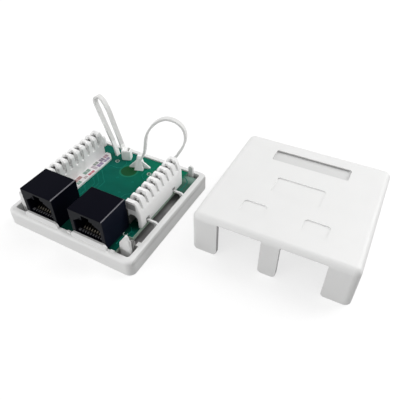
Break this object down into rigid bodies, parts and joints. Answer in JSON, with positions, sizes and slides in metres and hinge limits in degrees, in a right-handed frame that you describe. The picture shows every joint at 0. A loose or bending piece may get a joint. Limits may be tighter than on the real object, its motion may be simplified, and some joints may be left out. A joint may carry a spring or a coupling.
{
  "type": "surface mount jack box",
  "caption": "Opened surface mount data outlet: a tray with a board, modular sockets, punch-down blocks and cable ties, and its loose cover beside it.",
  "frame": {"origin": "centre of the tray's underside, the face that goes on the wall", "axes": "+Z out of the wall, away from the tray's underside; +Y from the socket side to the cable side; +X along the socket wall, towards the cover that stands beside the tray"},
  "size_m": [0.142, 0.0892, 0.0375],
  "materials": {
    "white_shell": "satin",
    "board_laminate": "semi-gloss",
    "black_housing": "gloss",
    "black_carrier": "satin",
    "gilt_contact": "polished",
    "white_block": "satin",
    "tinned_clip": "satin",
    "printed_label": "matte",
    "natural_nylon": "satin"
  },
  "bodies": {
    "outlet": {"base_tray": "white_shell", "circuit_board": "board_laminate", "left_cable_tie": "natural_nylon", "left_code_label": "printed_label", "left_contact_carrier": "black_carrier", "left_jack_contact_1": "gilt_contact", "left_jack_contact_2": "gilt_contact", "left_jack_contact_3": "gilt_contact", "left_jack_contact_4": "gilt_contact", "left_jack_contact_5": "gilt_contact", "left_jack_contact_6": "gilt_contact", "left_jack_contact_7": "gilt_contact", "left_jack_contact_8": "gilt_contact", "left_jack_housing": "black_housing", "left_punchdown_block": "white_block", "left_wire_clip_1": "tinned_clip", "left_wire_clip_2": "tinned_clip", "left_wire_clip_3": "tinned_clip", "left_wire_clip_4": "tinned_clip", "left_wire_clip_5": "tinned_clip", "left_wire_clip_6": "tinned_clip", "left_wire_clip_7": "tinned_clip", "left_wire_clip_8": "tinned_clip", "right_cable_tie": "natural_nylon", "right_code_label": "printed_label", "right_contact_carrier": "black_carrier", "right_jack_contact_1": "gilt_contact", "right_jack_contact_2": "gilt_contact", "right_jack_contact_3": "gilt_contact", "right_jack_contact_4": "gilt_contact", "right_jack_contact_5": "gilt_contact", "right_jack_contact_6": "gilt_contact", "right_jack_contact_7": "gilt_contact", "right_jack_contact_8": "gilt_contact", "right_jack_housing": "black_housing", "right_punchdown_block": "white_block", "right_wire_clip_1": "tinned_clip", "right_wire_clip_2": "tinned_clip", "right_wire_clip_3": "tinned_clip", "right_wire_clip_4": "tinned_clip", "right_wire_clip_5": "tinned_clip", "right_wire_clip_6": "tinned_clip", "right_wire_clip_7": "tinned_clip", "right_wire_clip_8": "tinned_clip"},
    "cover": {"cover": "white_shell"}
  },
  "joints": [
    {"name": "cover_lift", "type": "slide", "parent": "outlet", "child": "cover", "axis": [0, 0, 1], "range_m": [0, 0.045]}
  ]
}
